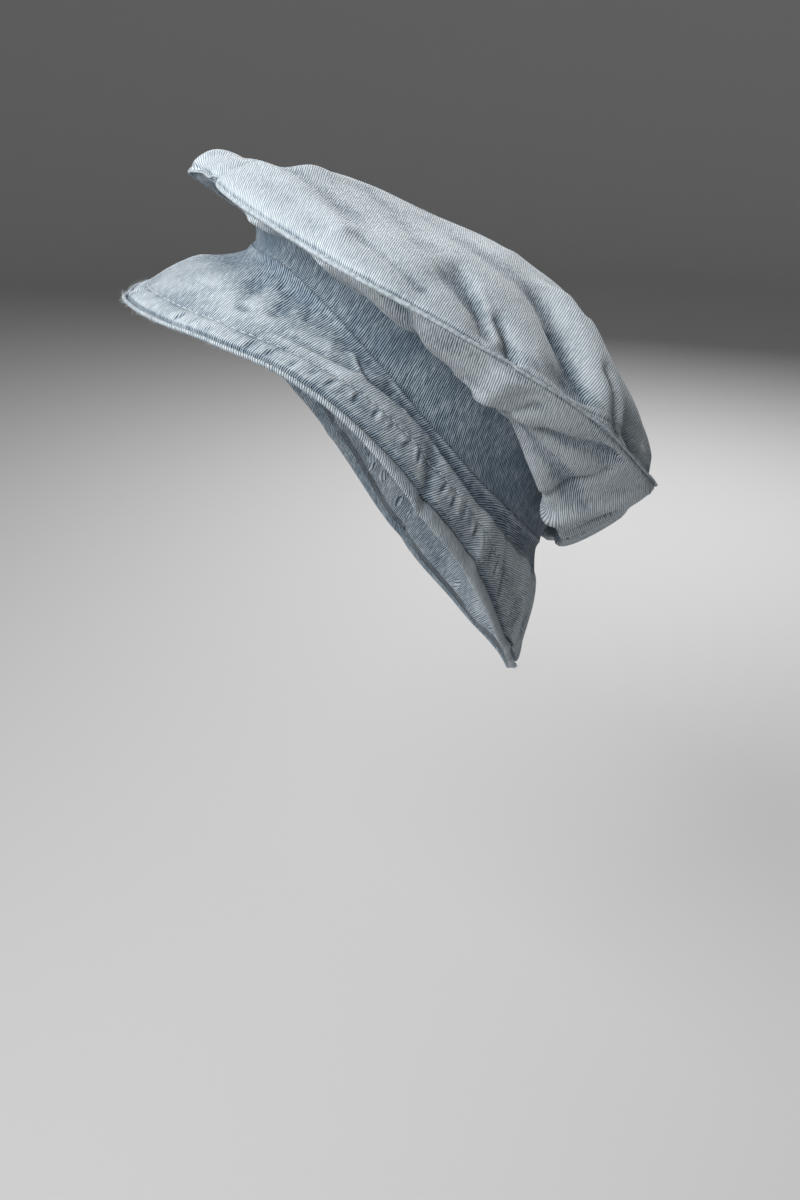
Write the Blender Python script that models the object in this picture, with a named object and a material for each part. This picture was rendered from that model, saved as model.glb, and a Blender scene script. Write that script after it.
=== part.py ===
# Baker boy cap of washed denim: a disc crown on a ring, a band, and a two-layer brim all round.
# Metres, +Z up, the cap's front towards -Y. The origin is the middle of the head opening,
# with the head upright along +Z and the cap worn tipped back.

import math

import bpy
import numpy as np

# Driving sizes, in metres and degrees
OPENING_LENGTH = 0.211
OPENING_WIDTH = 0.168
BAND_HEIGHT = 0.032
CROWN_RADIUS = 0.145
CROWN_HEIGHT = 0.096
RIM_ROLL = 0.0042
PEAK_LENGTH = 0.064
SIDE_BRIM_WIDTH = 0.033
TAIL_LENGTH = 0.086
BRIM_BEAD_RADIUS = 0.0021
CLOTH_THICKNESS = 0.0016
SEAM_GAP = 0.0003
WEAR_TILT = 46.0

# Where the widest place of the opening lies, as a share of its length from the front
OPENING_FRONT_SHARE = 0.47

# Colours and roughness of the washed denim
LIGHT_DENIM = (0.36, 0.46, 0.56)
MID_DENIM = (0.27, 0.36, 0.46)
DENIM_ROUGHNESS = 0.92

# Mesh fineness
STATIONS_AROUND = 72
TOP_STEPS = (3, 3, 3, 2, 2)
SIDE_STEPS = (2, 2, 2, 3)
BAND_STEPS = 2
BRIM_STEPS = (2, 3)
BEAD_SIDES = 5

# The bead of the brim's edge is round to this many degrees either side of its outermost place
BEAD_TURN = 135.0

# The crown round the cap. Angles run from the front to the back in degrees, and the right side
# mirrors the left. The rim's reach from the cap's axis is a share of CROWN_RADIUS. The places of
# the hanging under side are shares of the way out from the band to the rim. Heights over the
# opening are shares of CROWN_HEIGHT.
CROWN_COLUMNS = ("angle", "inner_height", "outer_height", "shoulder_height", "rim_reach", "rim_height",
                 "under_place", "under_height", "belly_place", "belly_height")
CROWN_STATIONS = (
    (0, 0.79, 0.60, 0.38, 0.97, 0.15, 0.40, 0.18, 0.19, 0.23),
    (15, 0.80, 0.58, 0.35, 0.97, 0.13, 0.50, 0.18, 0.14, 0.22),
    (30, 0.81, 0.58, 0.35, 0.95, 0.16, 0.56, 0.19, 0.12, 0.22),
    (45, 0.83, 0.60, 0.40, 0.97, 0.21, 0.55, 0.20, 0.17, 0.23),
    (60, 0.87, 0.66, 0.45, 0.96, 0.30, 0.60, 0.21, 0.26, 0.24),
    (75, 0.89, 0.71, 0.52, 0.94, 0.39, 0.65, 0.25, 0.34, 0.24),
    (90, 0.91, 0.76, 0.59, 0.93, 0.47, 0.68, 0.28, 0.35, 0.23),
    (105, 0.93, 0.79, 0.63, 0.91, 0.51, 0.72, 0.27, 0.37, 0.16),
    (120, 0.95, 0.80, 0.65, 0.90, 0.53, 0.69, 0.24, 0.41, 0.09),
    (135, 0.97, 0.80, 0.64, 0.88, 0.56, 0.74, 0.23, 0.48, 0.05),
    (150, 0.98, 0.80, 0.65, 0.87, 0.58, 0.84, 0.24, 0.48, 0.04),
    (165, 0.98, 0.80, 0.66, 0.88, 0.59, 0.93, 0.25, 0.39, 0.04),
    (180, 0.98, 0.80, 0.66, 0.90, 0.60, 0.95, 0.26, 0.34, 0.05),
)
APEX_HEIGHT_SHARE = 0.96
INNER_REACH_SHARE = 0.33
OUTER_REACH_SHARE = 0.66
SHOULDER_REACH_SHARE = 0.90

# Folds and dents of the crown. Each runs between two places, given by their angle, here all the
# way round from the front over the left side, and their share of the way out: 0 at the top's
# middle, 1 at the rim and 2 at the band. Heights are shares of CROWN_HEIGHT, and below 0 in a
# valley. Widths are shares of CROWN_RADIUS.
FOLD_COLUMNS = ("start_angle", "start_share", "end_angle", "end_share", "height", "width")
CROWN_FOLDS = (
    (89, 0.52, 99, 0.94, 0.055, 0.085),
    (80, 0.58, 88, 0.90, -0.060, 0.070),
    (58, 0.82, 74, 0.94, -0.030, 0.060),
    (30, 0.45, 62, 0.50, -0.020, 0.130),
    (118, 0.40, 126, 0.90, -0.035, 0.100),
    (146, 0.45, 150, 0.88, -0.030, 0.080),
    (190, 0.40, 194, 0.84, -0.045, 0.090),
    (228, 0.50, 222, 0.90, 0.035, 0.080),
    (262, 0.45, 254, 0.90, -0.050, 0.090),
    (284, 0.55, 278, 0.92, 0.030, 0.080),
    (320, 0.40, 328, 0.88, -0.025, 0.120),
    (343, 0.86, 352, 0.93, 0.035, 0.055),
    (4, 0.76, 5, 0.88, -0.030, 0.050),
    (94, 1.45, 107, 1.26, -0.050, 0.070),
    (55, 1.20, 61, 1.60, -0.030, 0.060),
    (78, 1.25, 80, 1.75, 0.030, 0.070),
    (128, 1.20, 124, 1.75, 0.040, 0.080),
    (146, 1.25, 143, 1.75, -0.045, 0.070),
    (170, 1.25, 172, 1.75, 0.040, 0.080),
    (204, 1.20, 200, 1.75, -0.045, 0.080),
    (240, 1.25, 236, 1.70, 0.040, 0.080),
    (268, 1.20, 262, 1.70, -0.045, 0.070),
    (300, 1.25, 296, 1.65, 0.030, 0.070),
)

# Folds of the brim, with shares from 1 at its seam to 2 at its edge. Heights are shares of
# SIDE_BRIM_WIDTH.
BRIM_FOLDS = (
    (19, 1.25, 28, 1.60, -0.055, 0.055),
    (28, 1.15, 33, 1.50, -0.045, 0.050),
    (53, 1.45, 59, 1.10, 0.050, 0.050),
    (84, 1.20, 88, 1.95, -0.060, 0.070),
    (112, 1.20, 112, 1.90, 0.050, 0.070),
    (138, 1.20, 146, 1.90, 0.075, 0.080),
    (160, 1.10, 168, 1.75, -0.110, 0.075),
    (196, 1.15, 190, 1.75, -0.080, 0.075),
    (222, 1.20, 216, 1.90, 0.070, 0.080),
    (252, 1.20, 250, 1.95, -0.060, 0.070),
    (284, 1.20, 280, 1.95, 0.050, 0.070),
    (318, 1.20, 322, 1.90, -0.055, 0.070),
    (342, 1.30, 346, 1.80, 0.040, 0.060),
)

# The band round the cap, in shares of BAND_HEIGHT: the height of its lower seam over the opening's
# plane, and how far its upper seam leans out and stands over the lower one.
BAND_COLUMNS = ("angle", "seam_height", "lean", "stand")
BAND_STATIONS = (
    (0, 0.18, 0.62, 0.72),
    (15, 0.25, 0.55, 0.77),
    (30, 0.24, 0.40, 0.86),
    (45, 0.18, 0.25, 0.93),
    (60, 0.11, 0.14, 0.96),
    (75, 0.02, 0.08, 0.97),
    (90, -0.04, 0.05, 0.98),
    (105, -0.09, 0.03, 0.98),
    (120, -0.10, 0.00, 0.98),
    (135, -0.10, -0.03, 0.98),
    (150, -0.08, -0.05, 0.98),
    (165, -0.06, -0.06, 0.98),
    (180, -0.04, -0.06, 0.98),
)

# The brim round the cap: how much of PEAK_LENGTH, SIDE_BRIM_WIDTH and TAIL_LENGTH makes its width
# there, its slope below the opening's plane in degrees, and its bow as a share of its width.
BRIM_COLUMNS = ("angle", "peak_part", "side_part", "tail_part", "slope", "bow")
BRIM_STATIONS = (
    (0, 1.00, 0.00, 0.00, 61, 0.03),
    (15, 0.96, 0.04, 0.00, 60, 0.03),
    (30, 0.70, 0.30, 0.00, 54, 0.03),
    (45, 0.30, 0.70, 0.00, 48, 0.03),
    (60, 0.08, 0.92, 0.00, 46, 0.03),
    (75, 0.00, 1.00, 0.00, 48, 0.03),
    (90, 0.00, 1.00, 0.02, 52, 0.03),
    (105, 0.00, 0.95, 0.06, 54, 0.03),
    (120, 0.00, 0.80, 0.20, 56, 0.04),
    (135, 0.00, 0.60, 0.38, 59, 0.05),
    (150, 0.00, 0.40, 0.55, 60, 0.06),
    (165, 0.00, 0.20, 0.72, 56, 0.06),
    (180, 0.00, 0.00, 1.00, 47, 0.06),
)


def column(table, names, name):
    """One named column of a table of stations."""
    return np.array([row[names.index(name)] for row in table], float)


def around(table, names, name, angles, pointed_back=False):
    """A column read at any angle round the cap. The right side mirrors the left."""
    values = column(table, names, name)
    step = 180.0 / (len(values) - 1)
    beyond = 2 * values[-1] - values[-2] if pointed_back else values[-2]
    padded = np.concatenate([[values[1]], values, [beyond, beyond]])
    folded = np.abs((np.asarray(angles, float) + 180.0) % 360.0 - 180.0)
    place = folded / step
    index = np.minimum(place.astype(int), len(values) - 1)
    share = place - index
    a, b, c, d = (padded[index + k] for k in range(4))
    return 0.5 * (2 * b + (c - a) * share + (2 * a - 5 * b + 4 * c - d) * share ** 2
                  + (3 * b - a - 3 * c + d) * share ** 3)


def seam_reach(angles):
    """How far the band's lower seam lies from the cap's axis: an egg, longer at the back."""
    turn = np.radians(angles)
    front = OPENING_LENGTH * OPENING_FRONT_SHARE
    back = OPENING_LENGTH - front
    length = np.where(np.cos(turn) > 0, front, back)
    return 1.0 / np.sqrt((np.cos(turn) / length) ** 2 + (2 * np.sin(turn) / OPENING_WIDTH) ** 2)


def smooth_path(before, knots, counts):
    """A curve through the knots (stations, knots, 2), with so many steps between each two. It
    starts as if it came from the knots before."""
    after = 2 * knots[:, -1:] - knots[:, -2:-1]
    padded = np.concatenate([before[:, None], knots, after], axis=1)
    pieces = []
    for index, count in enumerate(counts):
        a, b, c, d = (padded[:, index + k][:, None, :] for k in range(4))
        share = (np.arange(count) / count)[None, :, None]
        gap_ab = np.maximum(np.linalg.norm(b - a, axis=-1, keepdims=True), 1e-9)
        gap_bc = np.maximum(np.linalg.norm(c - b, axis=-1, keepdims=True), 1e-9)
        gap_cd = np.maximum(np.linalg.norm(d - c, axis=-1, keepdims=True), 1e-9)
        start = gap_bc * ((b - a) / gap_ab + (c - b) / gap_bc) / 2
        end = gap_bc * ((c - b) / gap_bc + (d - c) / gap_cd) / 2
        leaving = (2 * share ** 3 - 3 * share ** 2 + 1) * b + (share ** 3 - 2 * share ** 2 + share) * start
        reaching = (3 * share ** 2 - 2 * share ** 3) * c + (share ** 3 - share ** 2) * end
        pieces.append(leaving + reaching)
    pieces.append(knots[:, -1:])
    return np.concatenate(pieces, axis=1)


def worn(reach, height, angles):
    """Points of the tipped cap from their reach, height and angle round it."""
    turn = np.radians(angles)
    across = reach * np.sin(turn)
    along = -reach * np.cos(turn)
    tilt = math.radians(WEAR_TILT)
    back = along * math.cos(tilt) + height * math.sin(tilt)
    up = -along * math.sin(tilt) + height * math.cos(tilt)
    return np.stack([across, back, up], axis=-1)


def crown_knots(angles):
    """The crown's section at each angle, from the top's middle over the rim down to the band."""
    def read(name):
        return around(CROWN_STATIONS, CROWN_COLUMNS, name, angles)

    rim = np.stack([read("rim_reach") * CROWN_RADIUS, read("rim_height") * CROWN_HEIGHT], axis=-1)

    def top_knot(share, height):
        return np.stack([rim[:, 0] * share, height * CROWN_HEIGHT], axis=-1)

    apex = top_knot(0.0, np.full(len(angles), APEX_HEIGHT_SHARE))
    inner = top_knot(INNER_REACH_SHARE, read("inner_height"))
    outer = top_knot(OUTER_REACH_SHARE, read("outer_height"))
    shoulder = top_knot(SHOULDER_REACH_SHARE, read("shoulder_height"))
    neck = band_knots(angles)[0]

    def hanging_knot(place, height):
        return np.stack([neck[:, 0] + place * (rim[:, 0] - neck[:, 0]), height * CROWN_HEIGHT], axis=-1)

    under = hanging_knot(read("under_place"), read("under_height"))
    belly = hanging_knot(read("belly_place"), read("belly_height"))
    outward = rim - (shoulder + under) / 2
    outward /= np.linalg.norm(outward, axis=-1, keepdims=True)
    upward = np.stack([-outward[:, 1], outward[:, 0]], axis=-1)
    rim_top = rim - RIM_ROLL * outward + RIM_ROLL * upward
    rim_bottom = rim - RIM_ROLL * outward - RIM_ROLL * upward
    return apex, inner, outer, shoulder, rim_top, rim, rim_bottom, under, belly


def band_knots(angles):
    """The band's section at each angle, from its upper seam to its lower one."""
    lean = around(BAND_STATIONS, BAND_COLUMNS, "lean", angles)
    stand = around(BAND_STATIONS, BAND_COLUMNS, "stand", angles)
    seam_height = around(BAND_STATIONS, BAND_COLUMNS, "seam_height", angles) * BAND_HEIGHT
    seam = np.stack([seam_reach(angles), seam_height], axis=-1)
    upper = seam + BAND_HEIGHT * np.stack([lean, stand], axis=-1)
    return upper, seam


def brim_knots(angles):
    """The brim's section at each angle, from its seam to the middle of its beaded edge."""
    upper, seam = band_knots(angles)
    width = (around(BRIM_STATIONS, BRIM_COLUMNS, "peak_part", angles) * PEAK_LENGTH
             + around(BRIM_STATIONS, BRIM_COLUMNS, "side_part", angles) * SIDE_BRIM_WIDTH
             + around(BRIM_STATIONS, BRIM_COLUMNS, "tail_part", angles, pointed_back=True) * TAIL_LENGTH)
    slope = np.radians(around(BRIM_STATIONS, BRIM_COLUMNS, "slope", angles))
    bow = around(BRIM_STATIONS, BRIM_COLUMNS, "bow", angles)
    outward = np.stack([np.cos(slope), -np.sin(slope)], axis=-1)
    raised = np.stack([np.sin(slope), np.cos(slope)], axis=-1)
    middle = seam + outward * (width / 2)[:, None] + raised * (width * bow)[:, None]
    edge = seam + outward * width[:, None]
    lip = edge - outward * (2 * BRIM_BEAD_RADIUS)
    return seam, middle, lip, edge


def ring_normals(points):
    """Unit normals that point into the cap, and unit tangents along the section."""
    round_step = np.roll(points, -1, axis=0) - np.roll(points, 1, axis=0)
    along = np.gradient(points, axis=1)
    normal = np.cross(round_step, along)
    normal /= np.maximum(np.linalg.norm(normal, axis=-1, keepdims=True), 1e-12)
    along /= np.maximum(np.linalg.norm(along, axis=-1, keepdims=True), 1e-12)
    return normal, along


def unrolled(angles, shares):
    """Flat places of the cloth: the top's disc, with what hangs below it spread around it."""
    turn = np.radians(angles)
    return np.stack([shares * np.sin(turn), -shares * np.cos(turn)], axis=-1)


def fold_heights(folds, places, size):
    """How far the folds raise the cloth at its flat places."""
    total = np.zeros(places.shape[:-1])
    for row in folds:
        fold = dict(zip(FOLD_COLUMNS, row))
        start = unrolled(fold["start_angle"], fold["start_share"])
        run = unrolled(fold["end_angle"], fold["end_share"]) - start
        share = np.clip((places - start) @ run / (run @ run), 0.0, 1.0)
        distance = np.linalg.norm(places - start - share[..., None] * run, axis=-1)
        total += fold["height"] * size * np.exp(-(distance / fold["width"]) ** 2)
    return total


def surface(angles, top_steps=TOP_STEPS, side_steps=SIDE_STEPS, band_steps=BAND_STEPS, brim_steps=BRIM_STEPS):
    """The cap's outer cloth as one grid of points, and the grid columns where its seams lie."""
    apex, inner, outer, shoulder, rim_top, rim, rim_bottom, under, belly = crown_knots(angles)
    upper, seam = band_knots(angles)
    _, middle, lip, edge = brim_knots(angles)
    knots = np.stack([apex, inner, outer, shoulder, rim_top, rim, rim_bottom, under, belly, upper, seam,
                      middle, lip, edge], axis=1)
    counts = [*top_steps, *side_steps, band_steps, *brim_steps, 1]
    top_end = len(top_steps)
    side_end = top_end + len(side_steps)
    across_the_top = crown_knots(angles + 180.0)[1] * (-1.0, 1.0)
    path = smooth_path(across_the_top, knots, counts)
    ends = np.cumsum([0] + counts)
    seams = {"rim": ends[top_end], "neck": ends[side_end], "brow": ends[side_end + 1], "edge": ends[-1]}
    points = worn(path[..., 0], path[..., 1], angles[:, None])
    inward, _ = ring_normals(points)
    crown = slice(1, seams["neck"])
    top_shares = path[:, :seams["rim"], 0] / rim[:, None, 0]
    side_shares = np.linspace(1.0, 2.0, seams["neck"] - seams["rim"] + 1)[None, :].repeat(len(angles), axis=0)
    shares = np.concatenate([top_shares, side_shares], axis=1)[:, crown]
    raised = fold_heights(CROWN_FOLDS, unrolled(angles[:, None], shares), CROWN_HEIGHT)
    points[:, crown] -= inward[:, crown] * raised[..., None]
    brim = slice(seams["brow"] + 1, seams["edge"] + 1)
    shares = np.linspace(1.0, 2.0, seams["edge"] - seams["brow"] + 1)[None, 1:]
    raised = fold_heights(BRIM_FOLDS, unrolled(angles[:, None], shares), SIDE_BRIM_WIDTH)
    points[:, brim] -= inward[:, brim] * raised[..., None]
    return points, seams


def split_face(a, b, c, d, turned):
    """A four-sided face as two triangles, cut from its first corner or from its second."""
    if turned:
        return [(a, b, d), (b, c, d)]
    return [(a, b, c), (a, c, d)]


def closed_ring(section_rings, outer_count):
    """A ring swept round the cap. Its faces are cut the same way on its outer and inner sides,
    so that layers which lie on each other keep their gap."""
    stations, sides, _ = section_rings.shape
    faces = []
    for i in range(stations):
        j = (i + 1) % stations
        for k in range(sides):
            m = (k + 1) % sides
            corners = (i * sides + k, i * sides + m, j * sides + m, j * sides + k)
            faces += split_face(*corners, turned=k >= outer_count - 1)
    return section_rings.reshape(-1, 3), faces


def shell_sections(points, inward, along, first, last):
    """A cloth wall's section at each station: out along the outer side and back along the inner."""
    half_gap = SEAM_GAP / 2
    outer = points[:, first:last + 1].copy()
    outer[:, 0] += along[:, first] * half_gap
    outer[:, -1] -= along[:, last] * half_gap
    inner = outer + inward[:, first:last + 1] * CLOTH_THICKNESS
    return np.concatenate([outer, inner[:, ::-1]], axis=1), outer.shape[1]


def capped_top(points, inward, along, last):
    """The crown's disc: its outer and inner sides, each closed at the middle by one point."""
    stations = len(points)
    rings, _ = shell_sections(points, inward, along, 1, last)
    rings[:, 0] = points[:, 1]
    rings[:, -1] = points[:, 1] + inward[:, 1] * CLOTH_THICKNESS
    sides = rings.shape[1]
    vertices = list(rings.reshape(-1, 3))
    down = inward[:, 1].mean(axis=0)
    down /= np.linalg.norm(down)
    apex = points[0, 0]
    vertices += [apex, apex + down * CLOTH_THICKNESS]
    faces = []
    for i in range(stations):
        j = (i + 1) % stations
        faces.append((len(vertices) - 2, i * sides, j * sides))
        faces.append((len(vertices) - 1, j * sides + sides - 1, i * sides + sides - 1))
        for k in range(sides - 1):
            corners = (i * sides + k, i * sides + k + 1, j * sides + k + 1, j * sides + k)
            faces += split_face(*corners, turned=k >= sides // 2)
    return np.array(vertices), faces


def facing_sections(points, inward, along, first, last):
    """The under-brim's section: a wall below the upper layer, whose outer edge is a round bead."""
    half_gap = SEAM_GAP / 2
    lowered = points + inward * (CLOTH_THICKNESS + SEAM_GAP)
    outer = lowered[:, first:last].copy()
    outer[:, 0] += along[:, first] * half_gap
    inner = outer + inward[:, first:last] * CLOTH_THICKNESS
    centre = points[:, last] + inward[:, last] * CLOTH_THICKNESS
    turns = np.radians(np.linspace(BEAD_TURN, -BEAD_TURN, BEAD_SIDES + 1))
    bead = [centre + BRIM_BEAD_RADIUS * (math.cos(turn) * along[:, last] - math.sin(turn) * inward[:, last])
            for turn in turns]
    bead = np.stack(bead, axis=1)
    return np.concatenate([outer, bead, inner[:, ::-1]], axis=1), outer.shape[1]


def add_piece(name, vertices, faces, material):
    """One named object with its own mesh, shaded smooth."""
    mesh = bpy.data.meshes.new(name)
    mesh.from_pydata([tuple(map(float, vertex)) for vertex in vertices], [], faces)
    mesh.update()
    mesh.shade_smooth()
    piece = bpy.data.objects.new(name, mesh)
    piece.data.materials.append(material)
    bpy.context.scene.collection.objects.link(piece)
    return piece


def denim(name, colour):
    """Washed denim: matt, with the piece's own shade."""
    material = bpy.data.materials.new(name)
    material.use_nodes = True
    shader = material.node_tree.nodes["Principled BSDF"]
    shader.inputs["Base Color"].default_value = (*colour, 1.0)
    shader.inputs["Roughness"].default_value = DENIM_ROUGHNESS
    shader.inputs["Metallic"].default_value = 0.0
    return material


def main():
    for item in list(bpy.data.objects):
        bpy.data.objects.remove(item)
    angles = np.arange(STATIONS_AROUND) * 360.0 / STATIONS_AROUND
    points, seams = surface(angles)
    inward, along = ring_normals(points)
    light = denim("denim_light", LIGHT_DENIM)
    mid = denim("denim_mid", MID_DENIM)
    rim, neck, brow, edge = (seams[name] for name in ("rim", "neck", "brow", "edge"))
    add_piece("crown_top", *capped_top(points, inward, along, rim), light)
    add_piece("crown_side", *closed_ring(*shell_sections(points, inward, along, rim, neck)), mid)
    add_piece("band", *closed_ring(*shell_sections(points, inward, along, neck, brow)), mid)
    add_piece("brim_upper", *closed_ring(*shell_sections(points, inward, along, brow, edge - 1)), light)
    add_piece("brim_lower", *closed_ring(*facing_sections(points, inward, along, brow, edge)), mid)


main()
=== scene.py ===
"""The looks of a baker boy cap in washed denim: weave, folds, seams, puckered hem, stitches and frays.

Metres, +Z up, the cap's front towards -Y and the wearer's left towards +X. The origin is the
middle of the head opening, and the cap is worn tipped back.
"""

import math

import bpy
import numpy as np
from mathutils import Matrix, Vector, noise


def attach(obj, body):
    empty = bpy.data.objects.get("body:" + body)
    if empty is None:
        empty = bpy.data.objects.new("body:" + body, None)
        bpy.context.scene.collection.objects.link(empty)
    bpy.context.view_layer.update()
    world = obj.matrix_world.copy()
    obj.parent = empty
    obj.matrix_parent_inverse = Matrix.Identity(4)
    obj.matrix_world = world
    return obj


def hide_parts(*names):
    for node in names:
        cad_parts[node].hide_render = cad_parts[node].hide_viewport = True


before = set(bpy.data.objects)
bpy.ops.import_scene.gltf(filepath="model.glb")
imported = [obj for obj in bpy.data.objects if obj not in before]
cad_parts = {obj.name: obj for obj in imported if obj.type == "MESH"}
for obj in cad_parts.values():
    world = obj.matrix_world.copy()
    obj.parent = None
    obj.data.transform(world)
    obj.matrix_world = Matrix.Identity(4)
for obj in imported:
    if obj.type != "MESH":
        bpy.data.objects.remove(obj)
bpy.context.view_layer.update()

# Driving sizes of the cap, in metres and degrees
OPENING_LENGTH = 0.211
OPENING_WIDTH = 0.168
BAND_HEIGHT = 0.032
CROWN_RADIUS = 0.145
CROWN_HEIGHT = 0.096
RIM_ROLL = 0.0042
PEAK_LENGTH = 0.064
SIDE_BRIM_WIDTH = 0.033
TAIL_LENGTH = 0.086
CLOTH_THICKNESS = 0.0016
SEAM_GAP = 0.0003
WEAR_TILT = 46.0
OPENING_FRONT_SHARE = 0.47

# Fineness of the cloth: stations round the cap, and steps between the knots of its section
STATIONS_AROUND = 1440
TOP_STEPS = (8, 14, 14, 10, 8)
SIDE_STEPS = (8, 12, 12, 12)
BAND_STEPS = (18,)
BRIM_STEPS = (22, 28)
STRIP_SIDES = 16

# The crown round the cap. Angles run from the front to the back in degrees, and the right side
# mirrors the left. The rim's reach from the cap's axis is a share of CROWN_RADIUS. The places of
# the hanging under side are shares of the way out from the band to the rim. Heights over the
# opening are shares of CROWN_HEIGHT.
CROWN_COLUMNS = ("angle", "inner_height", "outer_height", "shoulder_height", "rim_reach", "rim_height",
                 "under_place", "under_height", "belly_place", "belly_height")
CROWN_STATIONS = (
    (0, 0.79, 0.60, 0.38, 0.97, 0.15, 0.40, 0.18, 0.19, 0.23),
    (15, 0.80, 0.58, 0.35, 0.97, 0.13, 0.50, 0.18, 0.14, 0.22),
    (30, 0.81, 0.58, 0.35, 0.95, 0.16, 0.56, 0.19, 0.12, 0.22),
    (45, 0.83, 0.60, 0.40, 0.97, 0.21, 0.55, 0.20, 0.17, 0.23),
    (60, 0.87, 0.66, 0.45, 0.96, 0.30, 0.60, 0.21, 0.26, 0.24),
    (75, 0.89, 0.71, 0.52, 0.94, 0.39, 0.65, 0.25, 0.34, 0.24),
    (90, 0.91, 0.76, 0.59, 0.93, 0.47, 0.68, 0.28, 0.35, 0.23),
    (105, 0.93, 0.79, 0.63, 0.91, 0.51, 0.72, 0.27, 0.37, 0.16),
    (120, 0.95, 0.80, 0.65, 0.90, 0.53, 0.69, 0.24, 0.41, 0.09),
    (135, 0.97, 0.80, 0.64, 0.88, 0.56, 0.74, 0.23, 0.48, 0.05),
    (150, 0.98, 0.80, 0.65, 0.87, 0.58, 0.84, 0.24, 0.48, 0.04),
    (165, 0.98, 0.80, 0.66, 0.88, 0.59, 0.93, 0.25, 0.39, 0.04),
    (180, 0.98, 0.80, 0.66, 0.90, 0.60, 0.95, 0.26, 0.34, 0.05),
)
APEX_HEIGHT_SHARE = 0.96
INNER_REACH_SHARE = 0.33
OUTER_REACH_SHARE = 0.66
SHOULDER_REACH_SHARE = 0.90

# Folds and dents of the crown. Each runs between two places, given by their angle, here all the
# way round from the front over the left side, and their share of the way out: 0 at the top's
# middle, 1 at the rim and 2 at the band. Heights are shares of CROWN_HEIGHT, and below 0 in a
# valley. Widths are shares of CROWN_RADIUS.
FOLD_COLUMNS = ("start_angle", "start_share", "end_angle", "end_share", "height", "width")
CROWN_FOLDS = (
    (89, 0.52, 99, 0.94, 0.055, 0.085),
    (80, 0.58, 88, 0.90, -0.060, 0.070),
    (58, 0.82, 74, 0.94, -0.030, 0.060),
    (30, 0.45, 62, 0.50, -0.020, 0.130),
    (118, 0.40, 126, 0.90, -0.035, 0.100),
    (146, 0.45, 150, 0.88, -0.030, 0.080),
    (190, 0.40, 194, 0.84, -0.045, 0.090),
    (228, 0.50, 222, 0.90, 0.035, 0.080),
    (262, 0.45, 254, 0.90, -0.050, 0.090),
    (284, 0.55, 278, 0.92, 0.030, 0.080),
    (320, 0.40, 328, 0.88, -0.025, 0.120),
    (343, 0.86, 352, 0.93, 0.035, 0.055),
    (4, 0.76, 5, 0.88, -0.030, 0.050),
    (94, 1.45, 107, 1.26, -0.050, 0.070),
    (55, 1.20, 61, 1.60, -0.030, 0.060),
    (78, 1.25, 80, 1.75, 0.030, 0.070),
    (128, 1.20, 124, 1.75, 0.040, 0.080),
    (146, 1.25, 143, 1.75, -0.045, 0.070),
    (170, 1.25, 172, 1.75, 0.040, 0.080),
    (204, 1.20, 200, 1.75, -0.045, 0.080),
    (240, 1.25, 236, 1.70, 0.040, 0.080),
    (268, 1.20, 262, 1.70, -0.045, 0.070),
    (300, 1.25, 296, 1.65, 0.030, 0.070),
)
BRIM_FOLDS = (
    (18, 1.18, 26, 1.40, -0.030, 0.050),
    (27, 1.09, 31, 1.28, -0.034, 0.045),
    (53, 1.45, 59, 1.10, 0.030, 0.050),
    (84, 1.20, 88, 1.95, -0.060, 0.070),
    (112, 1.20, 112, 1.90, 0.050, 0.070),
    (138, 1.20, 146, 1.90, 0.075, 0.080),
    (160, 1.10, 168, 1.75, -0.110, 0.075),
    (196, 1.15, 190, 1.75, -0.080, 0.075),
    (222, 1.20, 216, 1.90, 0.070, 0.080),
    (252, 1.20, 250, 1.95, -0.060, 0.070),
    (284, 1.20, 280, 1.95, 0.050, 0.070),
    (318, 1.20, 322, 1.90, -0.055, 0.070),
    (342, 1.30, 346, 1.80, 0.040, 0.060),
)

# The band round the cap, in shares of BAND_HEIGHT: the height of its lower seam over the opening's
# plane, and how far its upper seam leans out and stands over the lower one.
BAND_COLUMNS = ("angle", "seam_height", "lean", "stand")
BAND_STATIONS = (
    (0, 0.18, 0.62, 0.72),
    (15, 0.25, 0.55, 0.77),
    (30, 0.24, 0.40, 0.86),
    (45, 0.18, 0.25, 0.93),
    (60, 0.11, 0.14, 0.96),
    (75, 0.02, 0.08, 0.97),
    (90, -0.04, 0.05, 0.98),
    (105, -0.09, 0.03, 0.98),
    (120, -0.10, 0.00, 0.98),
    (135, -0.10, -0.03, 0.98),
    (150, -0.08, -0.05, 0.98),
    (165, -0.06, -0.06, 0.98),
    (180, -0.04, -0.06, 0.98),
)

# The brim round the cap: how much of PEAK_LENGTH, SIDE_BRIM_WIDTH and TAIL_LENGTH makes its width
# there, its slope below the opening's plane in degrees, and its bow as a share of its width.
BRIM_COLUMNS = ("angle", "peak_part", "side_part", "tail_part", "slope", "bow")
BRIM_STATIONS = (
    (0, 1.00, 0.00, 0.00, 61, 0.03),
    (15, 0.96, 0.04, 0.00, 60, 0.03),
    (30, 0.70, 0.30, 0.00, 54, 0.03),
    (45, 0.30, 0.70, 0.00, 48, 0.03),
    (60, 0.08, 0.92, 0.00, 46, 0.03),
    (75, 0.00, 1.00, 0.00, 48, 0.03),
    (90, 0.00, 1.00, 0.02, 52, 0.03),
    (105, 0.00, 0.95, 0.06, 54, 0.03),
    (120, 0.00, 0.80, 0.20, 56, 0.04),
    (135, 0.00, 0.60, 0.38, 59, 0.05),
    (150, 0.00, 0.40, 0.55, 60, 0.06),
    (165, 0.00, 0.20, 0.72, 56, 0.06),
    (180, 0.00, 0.00, 1.00, 47, 0.06),
)


def column(table, names, name):
    """One named column of a table of stations."""
    return np.array([row[names.index(name)] for row in table], float)


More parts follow.
